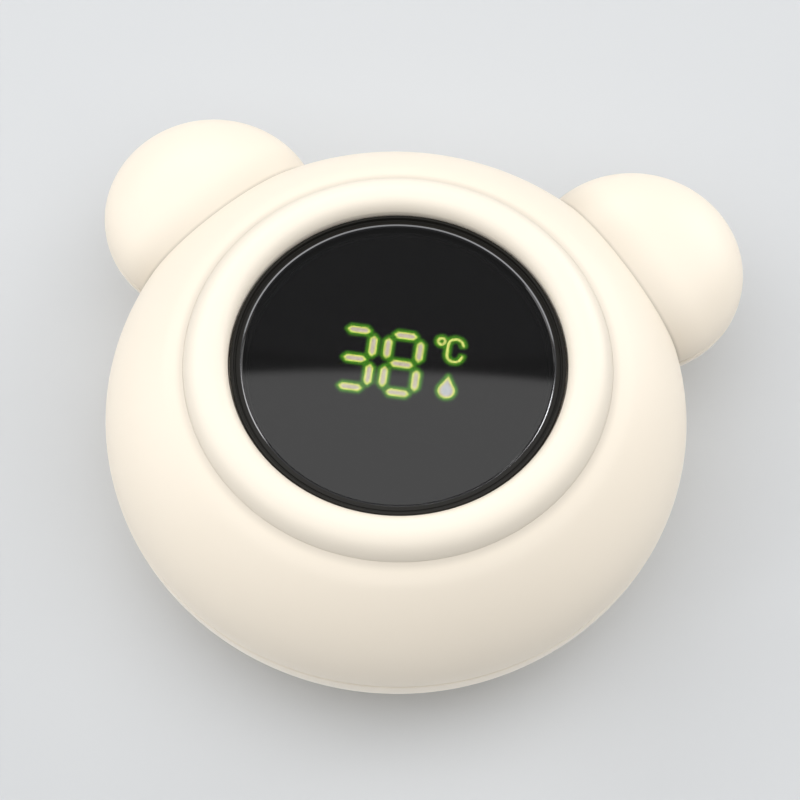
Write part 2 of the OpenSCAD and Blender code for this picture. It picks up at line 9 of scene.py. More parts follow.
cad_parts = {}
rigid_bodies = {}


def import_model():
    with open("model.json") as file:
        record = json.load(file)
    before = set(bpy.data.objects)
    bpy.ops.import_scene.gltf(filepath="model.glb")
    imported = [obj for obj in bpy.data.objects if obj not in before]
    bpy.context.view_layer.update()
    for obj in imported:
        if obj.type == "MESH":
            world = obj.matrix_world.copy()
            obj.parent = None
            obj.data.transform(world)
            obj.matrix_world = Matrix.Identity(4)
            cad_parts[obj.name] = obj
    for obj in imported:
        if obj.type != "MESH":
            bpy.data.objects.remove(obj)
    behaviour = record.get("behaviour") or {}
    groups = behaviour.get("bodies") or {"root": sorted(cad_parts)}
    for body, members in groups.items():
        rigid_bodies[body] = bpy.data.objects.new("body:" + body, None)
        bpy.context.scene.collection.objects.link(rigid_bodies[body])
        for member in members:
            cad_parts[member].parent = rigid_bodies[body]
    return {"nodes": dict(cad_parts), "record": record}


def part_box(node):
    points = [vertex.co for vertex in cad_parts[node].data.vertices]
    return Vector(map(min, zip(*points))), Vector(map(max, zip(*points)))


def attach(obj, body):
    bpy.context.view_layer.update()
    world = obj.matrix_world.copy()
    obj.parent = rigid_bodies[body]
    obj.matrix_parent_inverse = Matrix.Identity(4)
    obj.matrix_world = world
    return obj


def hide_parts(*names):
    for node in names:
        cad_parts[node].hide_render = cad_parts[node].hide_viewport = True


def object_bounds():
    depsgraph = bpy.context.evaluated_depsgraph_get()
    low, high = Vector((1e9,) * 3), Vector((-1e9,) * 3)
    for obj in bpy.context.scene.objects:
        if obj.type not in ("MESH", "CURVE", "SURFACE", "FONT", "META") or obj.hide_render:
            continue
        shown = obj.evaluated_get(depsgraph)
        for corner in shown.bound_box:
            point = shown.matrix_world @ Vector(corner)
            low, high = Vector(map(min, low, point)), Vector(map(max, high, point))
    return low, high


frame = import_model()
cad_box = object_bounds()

# Looks of the floating pool thermometer. Lengths are in mm until a piece is finished, and in metres
# from then on. The frame is the CAD's: +Z up, the base on z = 0, the ears towards +Y.
MM = 0.001

# How finely round things are cut: the body, the ears and display, and small parts
BODY_STEPS = 192
EAR_STEPS = 128
SMALL_STEPS = 64


# ---- camera, light and floor

CAMERA_AZIMUTH = 6.02  # degrees; 0 looks along +Y
CAMERA_ELEVATION = 63.65
CAMERA_ROLL = 2.15
CAMERA_DISTANCE = 0.4
CAMERA_LENS = 130.1
CAMERA_TARGET = Vector((0.18, 2.36, 15.0)) * MM

# The overhead light is two wide panels in a row. The lens mirrors the far edge at its middle, and
# strips of falling brightness soften it. Sizes are in metres.
OVERHEAD_WIDTH, OVERHEAD_DEPTH, OVERHEAD_HEIGHT = 2.6, 0.74, 1.0
OVERHEAD_RADIANCE, FRONT_RADIANCE = 1.5, 1.1
OVERHEAD_TURN = 7.0  # degrees about Z
OVERHEAD_LIMIT = CAMERA_ELEVATION + 0.94  # elevation of the far edge, from the origin
SOFT_STRIP = 0.0032
SOFT_SHARES = (0.8, 0.6, 0.4, 0.2)

# Side lights: azimuth and elevation, size, radiance, colour
WARM = (1.0, 0.99, 0.975)
WHITE = (1.0, 1.0, 1.0)
SIDE_LIGHTS = {
    "left": ((270, 20), (0.7, 0.6), 1.9, WARM),
    "back_right": ((135, 20), (0.7, 0.6), 2.7, WARM),
    "edge": ((217, 34), (1.1, 0.06), 11.0, WHITE),
}
SIDE_TARGET = (0, 0, 0.02)
OFF_CENTRE = (0, 0.01, 0)  # a target for lights on the Z axis, which aim() can't point along it

FLOOR_HALF = 3.0
FLOOR_GAP = 0.02 * MM  # between the floor and the base
FLOOR_COLOUR = (0.60, 0.615, 0.63)


def direction(azimuth, elevation):
    """The unit vector from the object towards a viewer at that azimuth and elevation."""
    a, e = math.radians(azimuth), math.radians(elevation)
    return Vector((math.sin(a) * math.cos(e), -math.cos(a) * math.cos(e), math.sin(e)))


def aim(obj, back, roll=0.0):
    """Turns obj so that its +Z points along back and its X axis stays level, then rolls it."""
    side = Vector((0, 0, 1)).cross(back).normalized()
    up = back.cross(side)
    r = math.radians(roll)
    x = side * math.cos(r) + up * math.sin(r)
    y = up * math.cos(r) - side * math.sin(r)
    turn = Matrix((x, y, back)).transposed()
    obj.rotation_mode = "QUATERNION"
    obj.rotation_quaternion = turn.to_quaternion()


def add_object(name, data):
    obj = bpy.data.objects.new(name, data)
    bpy.context.scene.collection.objects.link(obj)
    return obj


def make_camera():
    data = bpy.data.cameras.new("camera")
    data.sensor_width = 36.0
    data.lens = CAMERA_LENS
    data.clip_start = 0.01
    data.clip_end = 20.0
    camera = add_object("camera", data)
    back = direction(CAMERA_AZIMUTH, CAMERA_ELEVATION)
    camera.location = CAMERA_TARGET + back * CAMERA_DISTANCE
    aim(camera, back, CAMERA_ROLL)
    bpy.context.scene.camera = camera


def area_light(name, place, target, size, radiance, colour=WHITE):
    """A rectangular softbox that faces target and looks as bright as radiance."""
    data = bpy.data.lights.new(name, "AREA")
    data.shape = "RECTANGLE"
    data.size, data.size_y = size
    data.energy = radiance * math.pi * size[0] * size[1]
    data.color = colour
    light = add_object(name, data)
    light.location = Vector(place)
    light.visible_camera = False
    aim(light, (Vector(place) - Vector(target)).normalized())
    return light


def overhead_panel(name, far_edge, depth, radiance):
    """A panel of the overhead light, which faces down and crosses x = 0 with its far edge."""
    light = area_light(name, (0, 0, OVERHEAD_HEIGHT), OFF_CENTRE, (OVERHEAD_WIDTH, depth), radiance)
    turn = math.radians(OVERHEAD_TURN)
    light.rotation_mode = "XYZ"
    light.rotation_euler = (0, 0, turn)
    light.location = (depth / 2 * math.sin(turn), far_edge - depth / 2 * math.cos(turn),
                      OVERHEAD_HEIGHT)


def make_lights():
    world = bpy.data.worlds.new("studio")
    bpy.context.scene.world = world
    world.use_nodes = True
    background = world.node_tree.nodes["Background"]
    background.inputs["Color"].default_value = (*WHITE, 1)
    background.inputs["Strength"].default_value = 0.25
    edge = OVERHEAD_HEIGHT / math.tan(math.radians(OVERHEAD_LIMIT))
    overhead_panel("overhead", edge, OVERHEAD_DEPTH, OVERHEAD_RADIANCE)
    for i, share in enumerate(SOFT_SHARES):
        overhead_panel(f"overhead_edge_{i}", edge + (i + 1) * SOFT_STRIP, SOFT_STRIP,
                       OVERHEAD_RADIANCE * share)
    overhead_panel("overhead_front", edge - OVERHEAD_DEPTH, OVERHEAD_DEPTH, FRONT_RADIANCE)
    for name, (place, size, radiance, colour) in SIDE_LIGHTS.items():
        area_light(name, direction(*place), SIDE_TARGET, size, radiance, colour)


def light_underside():
    """A soft light from below, which shines through the floor, so that the base can be seen."""
    below = area_light("below", (0, 0, -0.9), OFF_CENTRE, (0.9, 0.9), 0.6)
    parts = bpy.data.collections.new("parts")
    for obj in bpy.context.scene.objects:
        if obj.type == "MESH" and obj.name != "floor":
            parts.objects.link(obj)
    below.light_linking.blocker_collection = parts


def make_floor():
    mesh = bpy.data.meshes.new("floor")
    mesh.from_pydata([(x * FLOOR_HALF, y * FLOOR_HALF, 0)
                      for x, y in ((-1, -1), (1, -1), (1, 1), (-1, 1))], [], [(0, 1, 2, 3)])
    floor = add_object("floor", mesh)
    floor.location.z = cad_box[0].z - FLOOR_GAP
    made = bpy.data.materials.new("pale_floor")
    made.use_nodes = True
    shader = shader_of(made)
    feed(made, shader, {"Base Color": (*FLOOR_COLOUR, 1), "Roughness": 0.6})
    # from below the floor is clear, so that the underside can be looked at
    clear = add_node(made, "BsdfTransparent").outputs["BSDF"]
    mix = add_node(made, "MixShader", Fac=add_node(made, "NewGeometry").outputs["Backfacing"])
    feed(made, mix, {1: shader.outputs["BSDF"], 2: clear})
    feed(made, made.node_tree.nodes["Material Output"], {"Surface": mix.outputs["Shader"]})
    mesh.materials.append(made)


# ---- outlines

def polar(r, degrees):
    """The point at a radius and an angle."""
    return r * math.cos(math.radians(degrees)), r * math.sin(math.radians(degrees))


def placed(outline, degrees, place=(0, 0)):
    """An outline turned about the origin and then moved to a place."""
    t = math.radians(degrees)
    return [(place[0] + x * math.cos(t) - y * math.sin(t),
             place[1] + x * math.sin(t) + y * math.cos(t)) for x, y in outline]


def arc(centre, radius, start, end, steps, height=None):
    """Points of an arc about centre, in degrees; an ellipse's if height is its other half axis."""
    tall = radius if height is None else height
    turns = [math.radians(start + (end - start) * i / steps) for i in range(steps + 1)]
    return [(centre[0] + radius * math.cos(t), centre[1] + tall * math.sin(t)) for t in turns]


def rounded(corners, steps=4):
    """The closed outline through corners (x, y, radius), each rounded by its radius."""
    out = []
    for i, (x, y, radius) in enumerate(corners):
        here = np.array((x, y))
        if radius <= 0:
            out.append((x, y))
            continue
        before = np.array(corners[i - 1][:2]) - here
        after = np.array(corners[(i + 1) % len(corners)][:2]) - here
        before, after = before / np.linalg.norm(before), after / np.linalg.norm(after)
        half = math.acos(float(np.clip(before @ after, -1, 1))) / 2
        bisector = (before + after) / np.linalg.norm(before + after)
        centre = here + bisector * radius / math.sin(half)
        first = here + before * radius / math.tan(half) - centre
        last = here + after * radius / math.tan(half) - centre
        start = math.atan2(first[1], first[0])
        sweep = math.remainder(math.atan2(last[1], last[0]) - start, math.tau)
        for k in range(steps + 1):
            t = start + sweep * k / steps
            out.append((centre[0] + radius * math.cos(t), centre[1] + radius * math.sin(t)))
    return out


# ---- solids

class Solid:
    """A closed mesh in mm, with the turned surfaces that its faces lie on."""

    def __init__(self, points, faces, surfaces=()):
        mesh = bpy.data.meshes.new("solid")
        mesh.from_pydata([tuple(map(float, p)) for p in points], [], [list(f) for f in faces])
        mesh.update()
        self.obj = add_object("solid", mesh)
        self.surfaces = list(surfaces)

    def _combine(self, others, operation):
        for other in others:
            step = self.obj.modifiers.new("step", "BOOLEAN")
            step.operation = operation
            step.solver = "MANIFOLD"
            step.object = other.obj
            self.surfaces += other.surfaces
        made = self.obj.evaluated_get(bpy.context.evaluated_depsgraph_get())
        mesh = bpy.data.meshes.new_from_object(made)
        self.obj.modifiers.clear()
        old, self.obj.data = self.obj.data, mesh
        bpy.data.meshes.remove(old)
        for other in others:
            other.discard()
        return self

    def join(self, *others):
        return self._combine(others, "UNION")

    def cut(self, *others):
        return self._combine(others, "DIFFERENCE")

    def discard(self):
        mesh = self.obj.data
        bpy.data.objects.remove(self.obj)
        bpy.data.meshes.remove(mesh)

    def piece(self, name, slot, replaced, *materials, body="float"):
        """Ends the solid as a named piece in metres, with exact normals on its turned faces.

        It has its slot's material, unless it is given others."""
        mesh = self.obj.data
        self.obj.name = mesh.name = name
        shade(mesh, self.surfaces)
        mesh.transform(Matrix.Scale(MM, 4))
        mesh.materials.clear()
        for made in materials or [SLOTS[slot]]:
            mesh.materials.append(made)
        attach(self.obj, body)
        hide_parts(replaced)
        return self.obj


SMOOTH_BELOW = math.cos(math.radians(32))  # profile corners flatter than this look smooth


def turned_surface(profile, centre, closed=True):
    """A profile's edges with the smooth normals at both ends, for shade()."""
    p = np.array(profile, float)
    q = np.roll(p, -1, axis=0)
    if not closed:
        p, q = p[:-1], q[:-1]
    step = q - p
    length = np.linalg.norm(step, axis=1)
    own = np.stack((step[:, 1], -step[:, 0]), 1) / np.maximum(length, 1e-12)[:, None]
    real = length > 1e-9
    p, q, own = p[real], q[real], own[real]

    def blended(neighbour, meets):
        flat = (own * neighbour).sum(1) > SMOOTH_BELOW
        both = own + neighbour
        both /= np.maximum(np.linalg.norm(both, axis=1), 1e-12)[:, None]
        return np.where((flat & meets)[:, None], both, own)

    before, after = np.roll(own, 1, axis=0), np.roll(own, -1, axis=0)
    start = blended(before, np.linalg.norm(np.roll(q, 1, axis=0) - p, axis=1) < 1e-9)
    end = blended(after, np.linalg.norm(np.roll(p, -1, axis=0) - q, axis=1) < 1e-9)
    for normals, ends in ((start, p), (end, q)):
        pole = (ends[:, 0] < 1e-6) & (np.abs(own[:, 1]) > 0.9)
        normals[pole] = np.stack((np.zeros(pole.sum()), np.sign(own[pole, 1])), 1)
    return centre, p, q, start, end


def shade(mesh, surfaces, near=0.02):
    """Gives each face corner the normal of the turned surface that it lies on, else its face's."""
    corners = len(mesh.loops)
    vertex = np.empty(corners, np.int32)
    mesh.loops.foreach_get("vertex_index", vertex)
    co = np.empty(len(mesh.vertices) * 3, np.float32)
    mesh.vertices.foreach_get("co", co)
    co = co.reshape(-1, 3)[vertex].astype(float)
    facing = np.empty(len(mesh.polygons) * 3, np.float32)
    mesh.polygons.foreach_get("normal", facing)
    sizes = np.empty(len(mesh.polygons), np.int32)
    mesh.polygons.foreach_get("loop_total", sizes)
    facing = np.repeat(facing.reshape(-1, 3).astype(float), sizes, axis=0)
    best = np.full(corners, 1.0)
    normal = facing.copy()
    for centre, p, q, start, end in surfaces:
        out = co[:, :2] - np.array(centre, float)
        r = np.linalg.norm(out, axis=1)
        out = out / np.maximum(r, 1e-9)[:, None]
        face_r = (facing[:, :2] * out).sum(1)
        z = co[:, 2]
        for a, b, na, nb in zip(p, q, start, end):
            low, high = np.minimum(a, b) - near, np.maximum(a, b) + near
            i = np.nonzero((r > low[0]) & (r < high[0]) & (z > low[1]) & (z < high[1]))[0]
            if not len(i):
                continue
            point = np.stack((r[i], z[i]), 1)
            along = b - a
            t = np.clip(((point - a) @ along) / (along @ along), 0, 1)
            distance = np.linalg.norm(point - (a + t[:, None] * along), axis=1)
            n = na + t[:, None] * (nb - na)
            n /= np.maximum(np.linalg.norm(n, axis=1), 1e-9)[:, None]
            agree = n[:, 0] * face_r[i] + n[:, 1] * facing[i, 2]
            score = distance + 0.1 * (1 - np.abs(agree))
            won = (distance < near) & (np.abs(agree) > 0.85) & (score < best[i])
            i, n, sign = i[won], n[won], np.sign(agree[won])
            best[i] = score[won]
            normal[i] = np.stack((out[i, 0] * n[:, 0], out[i, 1] * n[:, 0], n[:, 1]), 1)
            normal[i] *= sign[:, None]
    mesh.shade_smooth()
    mesh.normals_split_custom_set(normal.tolist())


def turned(profile, centre=(0, 0), steps=SMALL_STEPS):
    """The solid that a closed profile (radius, height), drawn anticlockwise, makes when turned."""
    points, rings, faces = [], [], []
    for r, z in profile:
        count = 1 if r < 1e-6 else steps
        rings.append(range(len(points), len(points) + count))
        for j in range(count):
            t = math.tau * j / steps
            points.append((centre[0] + r * math.cos(t), centre[1] + r * math.sin(t), z))
    for a, b in zip(rings, rings[1:] + rings[:1]):
        for j in range(steps):
            k = (j + 1) % steps
            if len(a) > 1 and len(b) > 1:
                faces.append((a[j], a[k], b[k], b[j]))
            elif len(a) > 1:
                faces.append((a[j], a[k], b[0]))
            elif len(b) > 1:
                faces.append((a[0], b[k], b[j]))
    return Solid(points, faces, [turned_surface(profile, centre)])


def cylinder(radius, low, high, centre=(0, 0), steps=SMALL_STEPS, edge=0.0):
    return turned(rounded([(0, low, 0), (radius, low, edge), (radius, high, edge), (0, high, 0)]),
                  centre, steps)


def tube_faces(first, rings, count, closed=False):
    """Faces through rings of count points each, from point first on, with caps unless closed."""
    faces = []
    for i in range(rings if closed else rings - 1):
        here, there = first + i * count, first + (i + 1) % rings * count
        for j in range(count):
            k = (j + 1) % count
            faces.append((here + j, there + j, there + k, here + k))
    if not closed:
        end = first + rings * count
        faces += [tuple(range(first, first + count)), tuple(reversed(range(end - count, end)))]
    return faces


def swept(rings, surfaces=()):
    """A solid through rings of points, each clockwise as seen from the sweep's end."""
    faces = tube_faces(0, len(rings), len(rings[0]))
    return Solid([p for ring in rings for p in ring], faces, surfaces)


def block(low, high):
    x0, y0, z0 = low
    x1, y1, z1 = high
    points = [(x, y, z) for z in (z0, z1) for x, y in ((x0, y0), (x1, y0), (x1, y1), (x0, y1))]
    faces = [(3, 2, 1, 0), (4, 5, 6, 7), (0, 1, 5, 4), (1, 2, 6, 5), (2, 3, 7, 6), (3, 0, 4, 7)]
    return Solid(points, faces)


def prism(outline, low, high):
    """An upright prism over an anticlockwise outline."""
    ring = list(reversed(outline))
    return swept([[(x, y, low) for x, y in ring], [(x, y, high) for x, y in ring]])


def many(profile, places):
    """The same turned shape at several places, as one solid of separate closed parts."""
    first, *others = [turned(profile, place) for place in places]
    return first.join(*others)


# ---- sizes

def box_mm(node):
    low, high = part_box(node)
    return [c / MM for c in low], [c / MM for c in high]


CENTRE = (0.0, 0.0)
UNDER = -1.0  # cutters start this far below the base
THIRDS = (0, 120, 240)  # degrees from one door lug to the next

SHELL_LOW, SHELL_HIGH = box_mm("top_shell")
SEAM_GAP = 0.1  # each shell's rim stays this far from the widest line
SEAM_EDGE = 0.24  # rounding of the two rims
SEAM_Z = round(box_mm("bottom_shell")[1][2], 2) + SEAM_GAP
BODY_R = round(-SHELL_LOW[1], 1)
DOME_H, BOWL_H = 22.85, 22.2  # heights of the body's halves, and of their hollows
HOLLOW_DOME_H, HOLLOW_BOWL_H = 20.4, 19.8
EAR_R, EAR_H, HOLLOW_EAR_H = 15.4, 9.3, 7.1
EAR_PLACES = [(side * (round(SHELL_HIGH[0], 1) - EAR_R), round(SHELL_HIGH[1], 1) - EAR_R)
              for side in (-1, 1)]
WALL = 3.0
FLOOR_T = 2.4
FOOT_EDGE = 1.2  # rounding where the bowl meets the flat base
SCREW_PLACES = [polar(26.5, a) for a in (45, 135, 225, 315)]
POST_PLACES = [polar(18.2, a) for a in (90, 210, 330)]
PROBE_PLACE = (0.0, round(sum(c[1] for c in box_mm("probe_cap")) / 2, 2))
CONTACT_PLACES = [(side * 9.5, round(sum(c[1] for c in box_mm("water_contacts")) / 2, 2))
                  for side in (-1, 1)]

# Tongue of the top shell and its groove in the bottom one: two insets from the body's outline,
# and two heights above the seam
TONGUE = (1.05, 1.95, -0.3, 1.7)
GROOVE = (1.0, 2.0, -1.1, 1.0)

LAND_R, LAND_T, LAND_Z = 30.0, 2.6, 29.5  # the face ring's seat
RING_OUT_R = round(box_mm("face_ring")[1][0], 2)
RING_EDGE_Z = 30.5  # foot of the face ring's outer slope
RING_FIT = 0.02  # joint between ring and shell, as it shows
RING_BLEND = 3.2  # the dome sinks to the ring's edge over this width
TOWER_R, TOWER_TOP = 3.2, LAND_Z - 2.3  # the case screws' towers in the top shell

# Holes: radius, low, high, rounding of the lower edge, places. In the top shell, the ring's recess,
# the opening for its skirt, the room below and the screws' pilot holes.
RING_HOLES = ((RING_OUT_R + RING_FIT, LAND_Z, LAND_Z + 12, 0, [CENTRE]),
              (24.5, 25.9, LAND_Z + 1, 0, [CENTRE]),
              (24.9, 25.9, LAND_Z - LAND_T, 0, [CENTRE]))
PILOT_HOLES = ((1.12, SEAM_Z - 1, 24.0, 0, SCREW_PLACES),)
# In the bottom shell: the battery's mouth, seal bore and pocket, the screws' and the posts' holes,
# and those of the probe and the water contacts
BATTERY_HOLES = ((14.9, UNDER, 4.1, 0.35, [CENTRE]),
                 (12.8, UNDER, 6.4, 0, [CENTRE]),
                 (10.4, UNDER, 9.9, 0, [CENTRE]))
SCREW_HOLES = ((2.5, UNDER, 5.5, 0.2, SCREW_PLACES),
               (1.3, UNDER, 16, 0, SCREW_PLACES),
               (0.82, 6.6, 19, 0, POST_PLACES))
PROBE_HOLES = ((5.0, UNDER, 1.4, 0.25, [PROBE_PLACE]),
               (2.55, UNDER, 8.0, 0, [PROBE_PLACE]),
               (3.35, 5.9, 8.0, 0, [PROBE_PLACE]),
               (2.5, UNDER, 1.1, 0.2, CONTACT_PLACES),
               (1.15, UNDER, 7.5, 0, CONTACT_PLACES))

# Round parts on the bottom shell's floor, as above: the battery's well, and the bosses
WELL = (18.4, 1.0, 11.2)
BOSSES = ((3.8, 1.5, SEAM_Z - SEAM_GAP, 0, SCREW_PLACES),
          (2.3, 1.5, 12.6, 0, POST_PLACES),
          (4.6, 1.5, 6.0, 0, [PROBE_PLACE]),
          (3.0, 1.5, 5.5, 0, CONTACT_PLACES))
CONTACT_SLOTS = (((-2.3, 9.4, 6.6), (2.3, 11.0, 17.8)),
                 ((5.4, -2.3, 8.9), (6.6, 2.3, 12.9)))    # for the cell's two contacts

DOOR_R = 14.6
DOOR_LIFT_PER_DEGREE = 5.4 / 120
LUG_R = (DOOR_R - 0.5, 16.4)
LUG_Z = (2.4, 3.8)
LUG_HALF = 7.0  # degrees
LUG_PLAY, LUG_SIDE_PLAY = 0.25, 1.5  # mm, and degrees at the channel's closed end
CHANNEL_R = (14.0, 16.7)
CHANNEL_STEPS = 48
CLOSED_AT, OPEN_AT = 90.0, -30.0  # where the door's mark points, closed and open
MARK_R, MARK_DEPTH = 18.4, 0.25  # the base's two marks: a dot, and a small ring
DOT_R, DOT_HOLE_R = 0.75, 0.42


# ---- materials

def feed(made, node, inputs):
    """Sets a node's inputs, by name or index, to constants or to other nodes' outputs."""
    for key, value in inputs.items():
        socket = node.inputs[key.replace("_", " ") if isinstance(key, str) else key]
        if isinstance(value, bpy.types.NodeSocket):
            made.node_tree.links.new(value, socket)
        else:
            socket.default_value = value


def add_node(made, kind, **inputs):
    """A new node. Its inputs are written with _ for a space."""
    node = made.node_tree.nodes.new("ShaderNode" + kind)
    feed(made, node, inputs)
    return node


def worked_out(made, kind, operation, *values, output=0):
    """The result of a math node, whose inputs are constants or other nodes' outputs."""
    node = add_node(made, kind)
    node.operation = operation
    feed(made, node, dict(enumerate(values)))
    return node.outputs[output]


def shader_of(made):
    return made.node_tree.nodes["Principled BSDF"]


def object_place(made):
    return add_node(made, "TexCoord").outputs["Object"]


def material(name, colour, roughness, metallic=0.0, vary=0.03, patch=120.0,
             grain=5000.0, depth=0.004, rough_spread=0.04, **sockets):
    """A moulded or metal surface: colour varies in patches, and a fine grain roughens it."""
    made = bpy.data.materials.new(name)
    made.use_nodes = True
    place = object_place(made)
    patches = add_node(made, "TexNoise", Vector=place, Scale=patch, Detail=3.0).outputs["Fac"]
    fine = add_node(made, "TexNoise", Vector=place, Scale=grain, Detail=2.0).outputs["Fac"]
    tint = add_node(made, "Mix")
    tint.data_type = "RGBA"
    feed(made, tint, {0: patches, 6: (*[c * (1 - vary) for c in colour], 1),
                      7: (*[min(1.0, c * (1 + vary)) for c in colour], 1)})
    spread = add_node(made, "MapRange", Value=fine, To_Min=max(0.0, roughness - rough_spread),
                      To_Max=roughness + rough_spread)
    bump = add_node(made, "Bump", Height=fine, Strength=0.5, Distance=depth * MM)
    feed(made, shader_of(made), {"Base Color": tint.outputs[2], "Metallic": metallic,
                                 "Roughness": spread.outputs[0], "Normal": bump.outputs[0],
                                 **sockets})
    return made


def faded(made, distance, width, share):
    """A factor that rises from a share at distance 0 to 1 at the given width."""
    fade = add_node(made, "MapRange", Value=distance, From_Max=width * MM, To_Min=share)
    fade.interpolation_type = "SMOOTHSTEP"
    return fade.outputs["Result"]


def ball_distance(made, point, centre, radius, tall):
    """How far a point stands outside a flattened ball."""
    out = worked_out(made, "VectorMath", "SUBTRACT", point, tuple(c * MM for c in centre))
    out = worked_out(made, "VectorMath", "MULTIPLY", out, (1, 1, radius / tall))
    out = worked_out(made, "VectorMath", "LENGTH", out, output=1)
    return worked_out(made, "Math", "SUBTRACT", out, radius * MM)


def darken(made, factor):
    """Scales a material's colour by a factor."""
    plain = shader_of(made).inputs["Base Color"].links[0].from_socket
    scaled = add_node(made, "VectorMath", Vector=plain)
    scaled.operation = "SCALE"
    feed(made, scaled, {"Scale": factor})
    feed(made, shader_of(made), {"Base Color": scaled.outputs["Vector"]})


def painted_joint_shade(made, width, share):
    """Paints shade into a material's colour near the ring's foot, where less light gets in."""
    out = worked_out(made, "VectorMath", "MULTIPLY", object_place(made), (1, 1, 0))
    out = worked_out(made, "VectorMath", "LENGTH", out, output=1)
    out = worked_out(made, "Math", "SUBTRACT", out, RING_OUT_R * MM)
    darken(made, faded(made, worked_out(made, "Math", "ABSOLUTE", out), width, share))


EAR_SHADES = ((5.5, 0.86), (0.6, 0.78))  # (width, share) of a wide shade and a narrow one
EAR_SKIN = 0.5  # mm; the shades stay this close to the ear's surface


def painted_ear_shade(made, body_tall):
    """Paints shade into a material's colour on the ears close to the body, where less light gets
    in.
    """
    point = object_place(made)
    parts = add_node(made, "SeparateXYZ", Vector=point).outputs
    mirrored = add_node(made, "CombineXYZ", Y=parts["Y"], Z=parts["Z"],
                        X=worked_out(made, "Math", "ABSOLUTE", parts["X"]))
    ear = ball_distance(made, mirrored.outputs[0], (*EAR_PLACES[1], SEAM_Z), EAR_R, EAR_H)
    body = ball_distance(made, point, (0, 0, SEAM_Z), BODY_R, body_tall)
    off_ear = faded(made, ear, EAR_SKIN, 0.0)
    for width, share in EAR_SHADES:
        near = faded(made, body, width, share)
        darken(made, worked_out(made, "Math", "MAXIMUM", off_ear, near))


def glowing(name, attribute, colours, strength, base=(0.02, 0.02, 0.02), alpha=1.0):
    """A surface whose glow runs evenly through colours as a mesh attribute goes from 0 to 1."""
    made = material(name, base, 0.4, vary=0.1)
    value = add_node(made, "Attribute")
    value.attribute_name = attribute
    ramp = add_node(made, "ValToRGB", Fac=value.outputs["Fac"])
    stops = ramp.color_ramp.elements
    while len(stops) < len(colours):
        stops.new(0.5)
    for i, colour in enumerate(colours):
        stops[i].position = i / (len(colours) - 1)
        stops[i].color = (*colour, 1)
    feed(made, shader_of(made), {"Emission Color": ramp.outputs["Color"],
                                 "Emission Strength": strength, "Alpha": alpha})
    return made


CREAM_COLOUR = (0.90, 0.815, 0.69)
MOULDED = {"vary": 0.012, "patch": 60.0, "grain": 9000.0, "depth": 0.0015, "rough_spread": 0.03}
CREAM = material("cream_plastic", CREAM_COLOUR, 0.42, **MOULDED)
# the top shell's cream, which gets painted shade below
CREAM_TOP = material("cream_top", CREAM_COLOUR, 0.42, **MOULDED)
CREAM_RING = material("cream_ring", (0.92, 0.842, 0.72), 0.40, **MOULDED)
# painted shade: the top shell's and the ring's cream darken towards the ring's foot, where less
# light gets in
painted_joint_shade(CREAM_TOP, 1.3, 0.83)
painted_joint_shade(CREAM_RING, 2.0, 0.85)
# painted shade: both shells' cream darkens on the ears near the body, where less light gets in
painted_ear_shade(CREAM_TOP, DOME_H)
painted_ear_shade(CREAM, BOWL_H)
GLOSS_BLACK = material("black_gloss", (0.012, 0.012, 0.013), 0.09, vary=0.15, depth=0.0005,
                       rough_spread=0.02)
RIM_BLACK = material("rim_black", (0.014, 0.013, 0.011), 0.35, vary=0.15, depth=0.0005,
                     Specular_IOR_Level=0.17)
RIM_EDGE = material("rim_edge", (0.17, 0.17, 0.175), 0.12, 1.0, vary=0.05, depth=0.0005)
SMOKED = material("smoked_lens", (0.06, 0.06, 0.065), 0.05, vary=0.02, patch=40.0, grain=60.0,
                  depth=0.0, rough_spread=0.006, Transmission_Weight=1.0, IOR=1.49)
LIT = glowing("lit_green", "core", ((0.86, 0.94, 0.17), (0.66, 0.59, 0.44), (0.61, 0.65, 0.625)),
              38.0)
FILM = glowing("diffuser", "glow", ((0.0, 0.0, 0.0), (0.12, 0.50, 0.012)), 33.0,
               (0.01, 0.012, 0.01), 0.6)
FILM_CLEAR = material("diffuser_window", (0.4, 0.42, 0.38), 0.3, Alpha=0.06)

